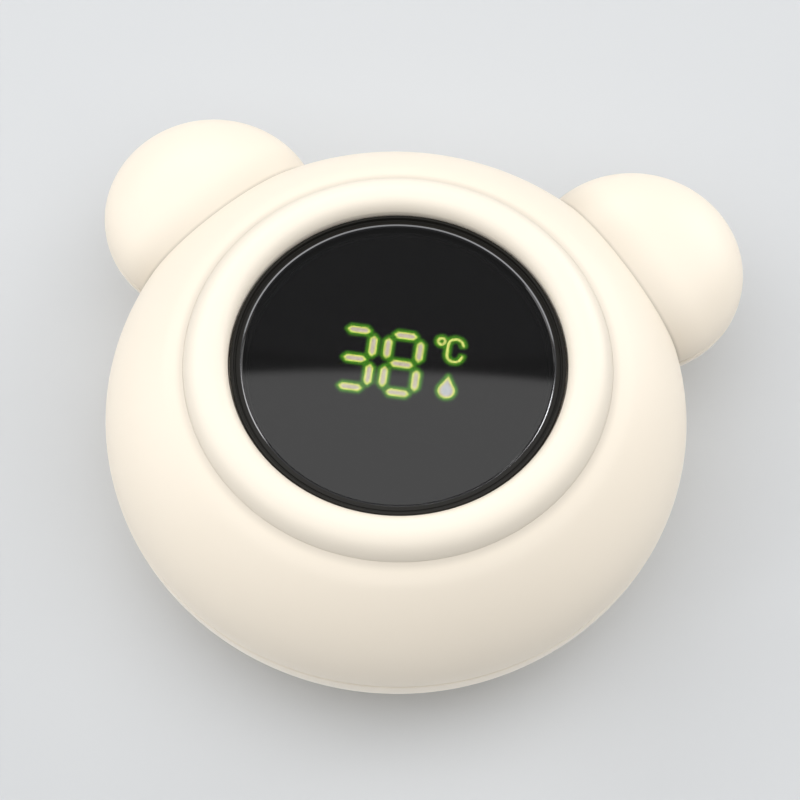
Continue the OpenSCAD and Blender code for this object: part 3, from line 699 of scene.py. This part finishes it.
# One material for each of the record's slots
SLOTS = {"cream_plastic": CREAM, "black_gloss": GLOSS_BLACK, "smoked_lens": SMOKED,
         "diffuser": FILM, "lit_green": LIT}
for slot, (colour, roughness, more) in {
    "black_foam": ((0.02, 0.02, 0.02), 0.9, dict(vary=0.3, grain=2500.0, depth=0.06)),
    "black_plastic": ((0.014, 0.014, 0.014), 0.55, dict(vary=0.15, depth=0.01)),
    "unlit_grey": ((0.03, 0.033, 0.03), 0.4, dict(vary=0.1)),
    "circuit_board": ((0.012, 0.10, 0.035), 0.35, dict(vary=0.25, patch=700.0, grain=1800.0,
                                                       depth=0.012, Coat_Weight=0.3)),
    "led_package": ((0.82, 0.70, 0.22), 0.45, dict(vary=0.1, patch=900.0)),
    "gold_pins": ((0.85, 0.60, 0.22), 0.25, dict(metallic=1.0, vary=0.06)),
    "chip_epoxy": ((0.02, 0.02, 0.022), 0.6, dict(vary=0.2, depth=0.01)),
    "small_parts": ((0.33, 0.24, 0.15), 0.5, dict(vary=0.35, patch=260.0)),
    "screw_steel": ((0.56, 0.56, 0.58), 0.32, dict(metallic=1.0, vary=0.08, patch=900.0,
                                                   depth=0.006)),
    "cell_can": ((0.66, 0.66, 0.67), 0.24, dict(metallic=1.0, vary=0.05, grain=3500.0)),
    "contact_spring": ((0.66, 0.64, 0.60), 0.28, dict(metallic=1.0, vary=0.06)),
    "stainless": ((0.62, 0.62, 0.63), 0.22, dict(metallic=1.0, vary=0.05, patch=300.0,
                                                 grain=4000.0, depth=0.003)),
    "silicone_black": ((0.02, 0.02, 0.021), 0.55, dict(vary=0.2, depth=0.01)),
    "silicone_cream": ((0.86, 0.77, 0.64), 0.6, dict(vary=0.02, depth=0.006)),
    "silicone_grey": ((0.10, 0.10, 0.10), 0.6, dict(vary=0.12, depth=0.01)),
    "bead_epoxy": ((0.02, 0.02, 0.02), 0.2, dict(vary=0.2)),
    "red_wire": ((0.50, 0.02, 0.015), 0.4, dict(vary=0.08)),
    "blue_wire": ((0.02, 0.07, 0.40), 0.4, dict(vary=0.08)),
}.items():
    SLOTS[slot] = material(slot, colour, roughness, **more)


# ---- shells

def outline_solid(inset, low, high):
    """The body's outline from above, drawn in by an inset, as a solid between two heights."""
    body = cylinder(BODY_R - inset, low, high, steps=BODY_STEPS)
    return body.join(*[cylinder(EAR_R - inset, low, high, p, EAR_STEPS) for p in EAR_PLACES])


def seam_band(outer, inner, low, high):
    """A band along the body's outline, between two insets and two heights above the seam."""
    low, high = SEAM_Z + low, SEAM_Z + high
    return outline_solid(outer, low, high).cut(outline_solid(inner, low - 1, high + 1))


def dome_profile(radius, tall, base, edge=0.0, skirt=0.0, steps=44):
    """Upper half of a flattened ball that stands on height base, with a rounded lower edge."""
    rim = ([(radius, base - skirt)] if skirt else
           arc((radius - edge, base + edge), edge, -90, 0, 4)[:-1] if edge else [])
    start = math.degrees(math.asin(edge / tall))
    return ([(0, base - skirt)] + rim + arc((0, base), radius, start, 90, steps, tall)[:-1]
            + [(0, base + tall)])


def bowl_profile(radius, tall, rim_z, cut_z, edge=0.0, skirt=0.0, steps=44, foot=0.0):
    """Lower half of a flattened ball below rim_z, cut flat at cut_z, with a rounded upper edge."""
    depth = min(1.0, (rim_z - cut_z) / tall)
    wall = arc((0, rim_z), radius, -math.degrees(math.asin(depth)),
               -math.degrees(math.asin(edge / tall)), steps, tall)
    if depth >= 1:
        wall[0] = (0, cut_z)
        low = []
    else:
        corner = wall[0]
        rounding = rounded([(0, cut_z, 0), (*corner, foot), (*wall[1], 0)], 6)
        low = [(0, cut_z)] + (rounding[1:-1] if foot else [corner])
        wall = wall[1:]
    rim = ([(radius, rim_z + skirt)] if skirt else
           arc((radius - edge, rim_z - edge), edge, 0, 90, 4)[1:] if edge else [])
    return low + wall + rim + [(0, rim_z + skirt)]


def with_ears(body, ear):
    """The solid of the body's profile, joined with the ear's on both sides."""
    return turned(body, steps=BODY_STEPS).join(*[turned(ear, p, EAR_STEPS) for p in EAR_PLACES])


def countersunk(radius, low, high, centre, steps, edge):
    """A round cutter from below the base, which rounds the hole's lower edge."""
    flare = [(radius + edge - edge * math.sin(t), edge - edge * math.cos(t))
             for t in (math.radians(a) for a in (0, 22.5, 45, 67.5, 90))]
    return turned([(0, low), (radius + edge, low)] + flare + [(radius, high), (0, high)],
                  centre, steps)


def uprights(rows, steps=SMALL_STEPS):
    """Round parts or cutters, one for each place in rows (radius, low, high, edge, places)."""
    return [countersunk(radius, low, high, place, steps, edge) if edge
            else cylinder(radius, low, high, place, steps)
            for radius, low, high, edge, places in rows for place in places]


def make_top_shell():
    base, tall = SEAM_Z + SEAM_GAP, DOME_H - SEAM_GAP
    step = base + tall * math.sqrt(1 - (RING_OUT_R / BODY_R) ** 2) - RING_EDGE_Z
    profile = []
    for r, z in dome_profile(BODY_R, tall, base, SEAM_EDGE, steps=112):
        share = min(max(1 - (r - RING_OUT_R) / RING_BLEND, 0), 1) if z > LAND_Z - 2 else 0
        profile.append((r, z - step * share * share * (3 - 2 * share)))
    shell = with_ears(profile, dome_profile(EAR_R, EAR_H, base, SEAM_EDGE))
    shell.cut(with_ears(dome_profile(BODY_R - WALL, HOLLOW_DOME_H, SEAM_Z, skirt=1.0),
                        dome_profile(EAR_R - WALL, HOLLOW_EAR_H, SEAM_Z, skirt=1.0)))
    shell.join(cylinder(LAND_R, LAND_Z - LAND_T, LAND_Z, steps=BODY_STEPS), seam_band(*TONGUE),
               *[cylinder(TOWER_R, base, TOWER_TOP, p) for p in SCREW_PLACES])
    shell.cut(*uprights(RING_HOLES, BODY_STEPS), *uprights(PILOT_HOLES))
    shell.piece("top_shell_moulding", "cream_plastic", "top_shell", CREAM_TOP)


def make_bottom_shell():
    rim = SEAM_Z - SEAM_GAP
    shell = with_ears(
        bowl_profile(BODY_R, BOWL_H, rim, 0.0, SEAM_EDGE, foot=FOOT_EDGE, steps=48),
        bowl_profile(EAR_R, EAR_H, rim, rim - EAR_H, SEAM_EDGE))
    shell.cut(with_ears(
        bowl_profile(BODY_R - WALL, HOLLOW_BOWL_H, SEAM_Z, FLOOR_T, skirt=1.0),
        bowl_profile(EAR_R - WALL, HOLLOW_EAR_H, SEAM_Z, SEAM_Z - HOLLOW_EAR_H, skirt=1.0)))
    shell.join(cylinder(*WELL, steps=EAR_STEPS), *uprights(BOSSES))
    shell.cut(*uprights(BATTERY_HOLES, EAR_STEPS), *[lug_channel(turn) for turn in THIRDS],
              *[block(*corners) for corners in CONTACT_SLOTS])
    shell.cut(*uprights(SCREW_HOLES))
    shell.cut(*uprights(PROBE_HOLES))
    closed_mark, open_mark = polar(MARK_R, CLOSED_AT), polar(MARK_R, OPEN_AT)
    shell.cut(seam_band(*GROOVE), cylinder(DOT_R, UNDER, MARK_DEPTH, closed_mark),
              cylinder(DOT_R, UNDER, MARK_DEPTH, open_mark).cut(
                  cylinder(DOT_HOLE_R, UNDER - 1, 2, open_mark)))
    shell.piece("bottom_shell_moulding", "cream_plastic", "bottom_shell")


def lug_channel(turn):
    """The sloped way of one door lug: it falls as it runs backwards round the mouth."""
    start = -LUG_HALF - LUG_SIDE_PLAY
    end = LUG_HALF + (LUG_Z[1] + LUG_PLAY) / DOOR_LIFT_PER_DEGREE
    angles = [start + (end + LUG_HALF + LUG_SIDE_PLAY) * i / CHANNEL_STEPS
              for i in range(CHANNEL_STEPS + 1)]

    def ring(a):
        top = LUG_Z[1] + LUG_PLAY - DOOR_LIFT_PER_DEGREE * max(a - LUG_HALF, 0)
        low = max(LUG_Z[0] - LUG_PLAY - DOOR_LIFT_PER_DEGREE * max(a + LUG_HALF, 0),
                  -2 * LUG_PLAY)
        t = math.radians(turn - a)
        return [(r * math.cos(t), r * math.sin(t), z) for r, z in
                ((CHANNEL_R[0], low), (CHANNEL_R[1], low), (CHANNEL_R[1], top),
                 (CHANNEL_R[0], top))]

    wall = turned_surface([(CHANNEL_R[1], UNDER), (CHANNEL_R[1], 5)], CENTRE, closed=False)
    return swept([ring(a) for a in reversed(angles)], [wall])


# ---- display

RING_IN = (22.65, 31.6)
RING_OUT = (RING_OUT_R, RING_EDGE_Z)
RING_SLOPES = (70.0, 68.0)  # of the inner and the outer edge
LEDGE = (20.0, 27.2, 28.6)  # the lens's ledge: bore, low, high
SKIRT = (22.9, 24.4, 26.1)  # the skirt through the shell: radii, low
SKIRT_BEAD = ((0.35, 0.35), (0.35, 0.6), (0, 0.7))  # its snap bead, outwards and upwards
RING_POSTS = [polar(21.3, a) for a in (90, 210, 330)]


def ring_crest():
    """The two arcs of the ring's top, as (crest radius, crest height, inner arc, outer arc)."""
    inner, outer = (math.radians(s) for s in RING_SLOPES)
    ratio = math.sin(outer) / (1 - math.cos(outer))
    width = RING_OUT[0] - RING_IN[0]
    inner_r = ((width - (RING_IN[1] - RING_OUT[1]) * ratio)
               / (math.sin(inner) + (1 - math.cos(inner)) * ratio))
    crest_z = RING_IN[1] + inner_r * (1 - math.cos(inner))
    outer_r = (crest_z - RING_OUT[1]) / (1 - math.cos(outer))
    return RING_IN[0] + inner_r * math.sin(inner), crest_z, inner_r, outer_r


def make_face_ring():
    crest, crest_z, inner_r, outer_r = ring_crest()
    top = (arc((crest, crest_z - outer_r), outer_r, 90 - RING_SLOPES[1], 90, 36)
           + arc((crest, crest_z - inner_r), inner_r, 90, 90 + RING_SLOPES[0], 28)[1:])
    profile = ([(LEDGE[0], LEDGE[1]), (SKIRT[0], LEDGE[1]), (SKIRT[0], SKIRT[2]),
                (SKIRT[1], SKIRT[2])] + [(SKIRT[1] + x, SKIRT[2] + z) for x, z in SKIRT_BEAD]
               + [(SKIRT[1], LAND_Z), (RING_OUT_R, LAND_Z)] + top
               + [(RING_IN[0], LEDGE[2]), (LEDGE[0], LEDGE[2])])
    ring = turned(profile, steps=BODY_STEPS * 2)
    ring.join(*uprights([(1.6, 24.6, LEDGE[1] + 0.5, 0, RING_POSTS)]))
    ring.cut(*uprights([(0.82, 23.6, LEDGE[2] - 0.6, 0, RING_POSTS)]))
    ring.piece("face_ring_moulding", "cream_plastic", "face_ring", CREAM_RING)


RIM_R = (20.7, 22.4)
RIM_BEVEL = (0.18, 0.36)  # the lip's polished bevel, from the bore outwards
LENS_R = round(box_mm("display_lens")[1][0], 2)
LENS_Z, BARS_Z = ([round(corner[2], 2) for corner in box_mm(node)]
                  for node in ("display_lens", "lit_segments"))
FILM_GAP = 0.03  # to the bars below and the lens above
FILM_Z = (BARS_Z[1] + FILM_GAP, LENS_Z[0] - FILM_GAP)
FILM_R = round(box_mm("diffuser_film")[1][0], 1)


def make_display_rim():
    base = LENS_Z[1]
    inner, outer = RIM_R
    corners = [(inner, base, 0), (outer, base, 0), (outer, base + 0.58, 0.2),
               (outer - 0.45, base + 0.64, 0.12), (outer - 0.56, base + 0.1, 0.03),
               (outer - 0.72, base + 0.1, 0.03), (inner + 0.86, base + 0.19, 0.05),
               (inner + 0.62, base + 0.225, 0), (inner + RIM_BEVEL[1], base + 0.316, 0.03),
               (inner + RIM_BEVEL[0], base + 0.232, 0.01), (inner, base + 0.02, 0)]
    rim = turned(rounded(corners), steps=BODY_STEPS * 2)
    # the outer bands are less shiny than the bore
    piece = rim.piece("display_rim_ring", "black_gloss", "display_rim", GLOSS_BLACK, RIM_BLACK,
                      RIM_EDGE)
    for polygon in piece.data.polygons:
        r = polygon.center.xy.length / MM - inner
        polygon.material_index = 1 if r > RIM_BEVEL[1] else 2 if r > RIM_BEVEL[0] else 0


def make_lens():
    lens = cylinder(LENS_R, *LENS_Z, steps=BODY_STEPS, edge=0.12)
    lens.piece("display_lens_disc", "smoked_lens", "display_lens")


# Lit shapes of the display: seven-segment bars, a degree sign with the letter C, and a drop
DIGITS = (((-5.9, 0.5), (0, 1, 2, 3, 6)), ((0.4, 0.5), (0, 1, 2, 3, 4, 5, 6)))
ROW, COLUMN = 4.29, 2.15
BAR = (3.2, 1.05)
BAR_PLACES = ((0, ROW, 0), (COLUMN, ROW / 2, 90), (COLUMN, -ROW / 2, 90), (0, -ROW, 0),
              (-COLUMN, -ROW / 2, 90), (-COLUMN, ROW / 2, 90), (0, 0, 0))
STROKE = 0.38
DEGREE_AT, DEGREE_R = (5.25, 4.7), 0.66
LETTER_AT, LETTER = (7.2, 3.55), (2.4, 3.8)
LETTER_GAP = 0.75
DROP_AT, DROP_R, DROP_TIP = (6.8, -2.53), 1.15, 2.2
BAR_EDGE = 0.04  # bevel of a bar's top edge
BAR_ROUND = (0.07, 0.03)  # rounding of a bar's corners, and the least further in
# How brightness grows inwards over a face: (inset, "core")
BAR_CORE = ((0.17, 0.04), (0.27, 0.4), (0.35, 0.5), (0.45, 0.5))
DROP_CORE = ((0.16, 0.08), (0.34, 0.5), (0.55, 0.9), (0.8, 1.0))
STROKE_CORE = 0.15  # on a stroke's centre line
STROKE_ENDS = (18, 36, 54, 72, 88)  # degrees round an open end


def bar_outline(inset, place, turn):
    """A bar with pointed, slightly rounded ends, drawn in by inset."""
    l, w = BAR[0] / 2 - inset * math.sqrt(2), BAR[1] / 2 - inset
    soft = max(BAR_ROUND[0] - inset, BAR_ROUND[1])
    corners = [(-l, 0), (w - l, -w), (l - w, -w), (l, 0), (l - w, w), (w - l, w)]
    return placed(rounded([(x, y, soft) for x, y in corners]), turn, place)


def bar_places():
    for (x, y), bars in DIGITS:
        for i in bars:
            dx, dy, turn = BAR_PLACES[i]
            yield (x + dx, y + dy), turn


def drop_outline(inset):
    share = (DROP_R - inset) / DROP_R
    r, tip = DROP_R * share, DROP_TIP * share
    side = math.degrees(math.acos(r / tip))
    return arc(DROP_AT, r, 90 + side, 450 - side, 40) + [(DROP_AT[0], DROP_AT[1] + tip)]


def letter_line():
    """The centre line of the letter C, from its upper end to its lower end."""
    r = (LETTER[0] - STROKE) / 2
    rise = (LETTER[1] - LETTER[0]) / 2
    x, y = LETTER_AT
    end = math.degrees(math.asin((LETTER_GAP - rise) / r))
    return arc((x, y + rise), r, end, 180, 20) + arc((x, y - rise), r, 180, 360 - end, 20)


def degree_line():
    return arc(DEGREE_AT, DEGREE_R - STROKE / 2, 0, 360, 36)[:-1]


def stroke_sides(line, closed):
    """A line's points, and the unit vectors to its left there."""
    p = np.array(line)
    if closed:
        along = np.roll(p, -1, axis=0) - np.roll(p, 1, axis=0)
    else:
        along = np.gradient(p, axis=0)
    along /= np.linalg.norm(along, axis=1)[:, None]
    return p, np.stack((-along[:, 1], along[:, 0]), 1)


class Bars:
    """Closed light bars in one mesh, with each point's depth into its bar's face as "core"."""

    def __init__(self):
        self.points, self.faces, self.core = [], [], []

    def add(self, rings, closed=False):
        """A bar through rings of (x, y, z, core), anticlockwise as seen from the last one."""
        faces = tube_faces(len(self.points), len(rings), len(rings[0]), closed)
        self.faces += [(face[0], *reversed(face[1:])) for face in faces]
        self.points += [p[:3] for ring in rings for p in ring]
        self.core += [p[3] for ring in rings for p in ring]

    def stack(self, outline, depths):
        """A bar whose face is built of its outline at growing insets."""
        low, top = BARS_Z
        levels = ((0, low, 0.0), (0, top - BAR_EDGE, 0.0), (BAR_EDGE, top, 0.0),
                  *[(inset, top, core) for inset, core in depths])
        self.add([[(x, y, z, core) for x, y in outline(inset)] for inset, z, core in levels])

    def stroke(self, line, closed=False):
        """A bar of even width along a line, with rounded ends where it is open."""
        low, top = BARS_Z
        w = STROKE / 2
        p, side = stroke_sides(line, closed)
        rows = [(centre, left, 1.0) for centre, left in zip(p, side)]
        if not closed:
            ends = []
            for sign, i in ((-1, 0), (1, -1)):
                along = sign * np.array((side[i][1], -side[i][0]))
                ends.append([(p[i] + along * w * math.sin(a), side[i], max(math.cos(a), 0.04))
                             for a in (math.radians(d) for d in STROKE_ENDS)])
            rows = ends[0][::-1] + rows + ends[1]
        section = [(w, low, 0), (w, top - BAR_EDGE, 0), (w - BAR_EDGE, top, 0),
                   (0, top, STROKE_CORE), (BAR_EDGE - w, top, 0), (-w, top - BAR_EDGE, 0),
                   (-w, low, 0)]
        self.add([[(c[0] + s[0] * u * width, c[1] + s[1] * u * width, z, core)
                   for u, z, core in section] for c, s, width in rows], closed)

    def piece(self, name, replaced):
        solid = Solid(self.points, self.faces)
        core = solid.obj.data.attributes.new("core", "FLOAT", "POINT")
        core.data.foreach_set("value", self.core)
        solid.piece(name, "lit_green", replaced)


def make_light_bars():
    bars = Bars()
    for place, turn in bar_places():
        bars.stack(lambda inset, p=place, t=turn: bar_outline(inset, p, t), BAR_CORE)
    bars.piece("lit_segment_bars", "lit_segments")
    icons = Bars()
    icons.stack(drop_outline, DROP_CORE)
    icons.stroke(letter_line())
    icons.stroke(degree_line(), closed=True)
    icons.piece("unit_icon_bars", "unit_icons")


HALO = (0.04, 0.63)  # the glow is full this near to a bar, and gone this far from it
HALO_GRID = 0.14
HALO_AREA = ((-9.5, 10.5), (-6.5, 7.5))
HALO_CLEAR = 0.06  # the grid's points keep this far from the outlines
FILM_STEPS = 128


def lit_outlines():
    """Closed outlines of everything lit, and of the degree sign's hole."""
    w = STROKE / 2
    out = [bar_outline(0, place, turn) for place, turn in bar_places()]
    out.append(drop_outline(0))
    p, side = stroke_sides(letter_line(), False)
    out.append([tuple(c) for c in np.concatenate((p + side * w, (p - side * w)[::-1]))])
    p, side = stroke_sides(degree_line(), True)
    return out + [[tuple(c) for c in p - side * w]], [[tuple(c) for c in p + side * w]]


def outline_distance(points, outlines):
    """Each point's distance to the nearest outline, whether it is inside one, and its glow."""
    points = np.array(points, float)
    near = np.full(len(points), 1e9)
    inside = np.zeros(len(points), bool)
    glow = np.zeros(len(points))
    for outline in outlines:
        own = np.full(len(points), 1e9)
        a = np.array(outline, float)
        b = np.roll(a, -1, axis=0)
        odd = np.zeros(len(points), bool)
        for (ax, ay), (bx, by) in zip(a, b):
            along = np.array((bx - ax, by - ay))
            t = np.clip(((points - (ax, ay)) @ along) / max(along @ along, 1e-12), 0, 1)
            own = np.minimum(own, np.linalg.norm(points - (ax, ay) - t[:, None] * along, axis=1))
            crosses = (ay > points[:, 1]) != (by > points[:, 1])
            slope = (points[:, 1] - ay) / (by - ay if by != ay else 1e-12)
            odd ^= crosses & (points[:, 0] < ax + slope * (bx - ax))
        inside |= odd
        near = np.minimum(near, own)
        fade = np.clip((HALO[1] - own) / (HALO[1] - HALO[0]), 0, 1)
        glow += fade * fade * (3 - 2 * fade)
    return near, inside, np.minimum(glow, 1)


def make_film():
    """The diffuser film: clear over the bars, with light that bleeds into it round them."""
    shapes, holes = lit_outlines()
    points, edges = [], []
    turns = [math.tau * i / FILM_STEPS for i in range(FILM_STEPS)]
    border = [(FILM_R * math.cos(t), FILM_R * math.sin(t)) for t in turns]
    for outline in [border] + shapes + holes:
        first = len(points)
        points += outline
        edges += [(first + i, first + (i + 1) % len(outline)) for i in range(len(outline))]
    xs = np.arange(*HALO_AREA[0], HALO_GRID)
    ys = np.arange(*HALO_AREA[1], HALO_GRID * math.sqrt(3) / 2)
    grid = np.array([(x + (j % 2) * HALO_GRID / 2, y) for j, y in enumerate(ys) for x in xs])
    near, inside, _ = outline_distance(grid, shapes)
    in_hole = outline_distance(grid, holes)[1]
    used = (near > HALO_CLEAR) & (near < HALO[1] + HALO_GRID) & (~inside | in_hole)
    points += [tuple(p) for p in grid[used]]
    flat, _, faces, _, _, _ = delaunay_2d_cdt([Vector(p) for p in points], edges, [], 1, 1e-5)
    flat = np.array([tuple(p) for p in flat])
    middles = np.array([flat[list(f)].mean(0) for f in faces])
    lit = outline_distance(middles, shapes)[1] & ~outline_distance(middles, holes)[1]
    halo = outline_distance(flat, shapes + holes)[2]
    rim = [i for i, p in enumerate(flat) if abs(np.linalg.norm(p) - FILM_R) < 1e-3]
    rim.sort(key=lambda i: math.atan2(flat[i][1], flat[i][0]))
    low, top = FILM_Z
    count = len(flat)
    verts = [(x, y, low) for x, y in flat] + [(*flat[i], top) for i in rim]
    upper = {i: count + k for k, i in enumerate(rim)}
    solid_faces = [tuple(reversed(f)) for f in faces]
    solid_faces += [(a, b, upper[b], upper[a]) for a, b in zip(rim, rim[1:] + rim[:1])]
    solid_faces.append(tuple(upper[i] for i in rim))
    film = Solid(verts, solid_faces)
    glow = film.obj.data.attributes.new("glow", "FLOAT", "POINT")
    glow.data.foreach_set("value", halo.tolist() + [0.0] * len(rim))
    piece = film.piece("diffuser_sheet", "diffuser", "diffuser_film", FILM, FILM_CLEAR)
    for polygon, is_lit in zip(piece.data.polygons, lit):
        polygon.material_index = int(is_lit)


# ---- underside

DOOR_FACE_Z = round(box_mm("battery_door")[0][2], 2)
DISH = ((9.4, -0.01), (8.2, 0.35), (0, 0.45))  # (radius, depth) from the rim inwards
SLOT_HALF, SLOT_R, SLOT_DEPTH = 7, 1, 1.5  # for a coin
ARROW_R, ARROW_SIZE, ARROW_EDGE = 11.7, 1.1, 0.12
DOOR_SEAL_R, DOOR_SEAL_Z, DOOR_SEAL_HALF = (11.3, 12.8), 5.1, 0.65


def door_arrow():
    """The outline of a small triangle that points outwards to the closed mark."""
    back, half = ARROW_R - ARROW_SIZE * 0.6, ARROW_SIZE * 0.85
    corners = [(ARROW_R + ARROW_SIZE, 0), (back, half), (back, -half)]
    return placed(rounded([(x, y, ARROW_EDGE) for x, y in corners]), CLOSED_AT)


def make_door():
    face = DOOR_FACE_Z
    # (radius, height, rounding): the disc, its neck with the seal's groove, the cell's hollow
    corners = [(0, face, 0), (DOOR_R, face, 0.5), (DOOR_R, 3.9, 0.12), (12.5, 3.9, 0.08),
               (12.5, 4.3, 0.05), (11.3, 4.3, 0.08), (11.3, 5.9, 0.08), (12.5, 5.9, 0.05),
               (12.5, 6.2, 0.12), (9.0, 6.2, 0.12), (9.0, 3.0, 0.3), (0, 3.0, 0)]
    door = turned(rounded(corners), steps=BODY_STEPS)
    section = rounded([(LUG_R[0], LUG_Z[0], 0), (LUG_R[1], LUG_Z[0], 0.15),
                       (LUG_R[1], LUG_Z[1], 0.15), (LUG_R[0], LUG_Z[1], 0)])
    lugs = []
    for turn in THIRDS:
        angles = [turn - LUG_HALF + 2 * LUG_HALF * i / 12 for i in range(13)]
        rings = [[(*polar(r, a), z) for r, z in section] for a in angles]
        lugs.append(swept(rings, [turned_surface(section, CENTRE)]))
    door.join(*lugs)
    slot_z = face + SLOT_DEPTH
    slot = block((-SLOT_HALF, -SLOT_R, UNDER), (SLOT_HALF, SLOT_R, slot_z))
    slot.join(*[cylinder(SLOT_R, UNDER, slot_z, (x, 0)) for x in (-SLOT_HALF, SLOT_HALF)])
    dish = turned([(0, UNDER), (DISH[0][0], UNDER)] + [(r, face + z) for r, z in DISH],
                  steps=BODY_STEPS)
    door.cut(dish, slot, prism(door_arrow(), UNDER, face + MARK_DEPTH))
    door.piece("battery_door_moulding", "cream_plastic", "battery_door", body="door")


def make_o_ring():
    middle = (sum(DOOR_SEAL_R) / 2, DOOR_SEAL_Z)
    ring = turned(arc(middle, DOOR_SEAL_HALF, 0, 360, 24)[:-1], steps=BODY_STEPS)
    ring.piece("door_seal_ring", "silicone_black", "door_o_ring", body="door_seal")


def make_plugs_and_sensors():
    """The screws' plugs, the probe's cap and the water contacts, by (radius, height, rounding)."""
    plug = rounded([(0, 0.5, 0), (2.45, 0.5, 0.35), (2.45, 3.1, 0.1), (0, 3.1, 0)])
    many(plug, SCREW_PLACES).piece("screw_plug_set", "silicone_cream", "screw_plugs")
    tip, r, wall = 0.6, 2.5, 0.4
    cap = ([(0, tip)] + arc((r - 1.2, tip + 1.2), 1.2, -90, 0, 12)
           + rounded([(r, 6.0, 0), (3.5, 6.0, 0.08), (3.5, 6.7, 0.08), (r, 6.7, 0),
                      (r, 7.6, 0.1), (r - wall, 7.6, 0.1), (r - wall, tip + 1, 0)])
           + [(r - wall - 0.5, tip + 0.5), (0, tip + 0.5)])
    turned(cap, PROBE_PLACE).piece("probe_cap_shell", "stainless", "probe_cap")
    contact = rounded([(0, 0.5, 0), (2.0, 0.5, 0.2), (2.0, 1.1, 0.08), (1.1, 1.1, 0),
                       (1.1, 7.0, 0.15), (0, 7.0, 0)])
    many(contact, CONTACT_PLACES).piece("water_contact_studs", "stainless", "water_contacts")


# ---- build

make_camera()
make_lights()
make_floor()
make_top_shell()
make_bottom_shell()
make_face_ring()
make_display_rim()
make_lens()
make_light_bars()
make_film()
make_door()
make_o_ring()
make_plugs_and_sensors()
for part in frame["record"]["subparts"]:
    node = frame["nodes"][part["node"]]
    node.data.materials.clear()
    node.data.materials.append(SLOTS[part["material_slot"]])
light_underside()

bpy.context.scene.view_settings.view_transform = "Standard"
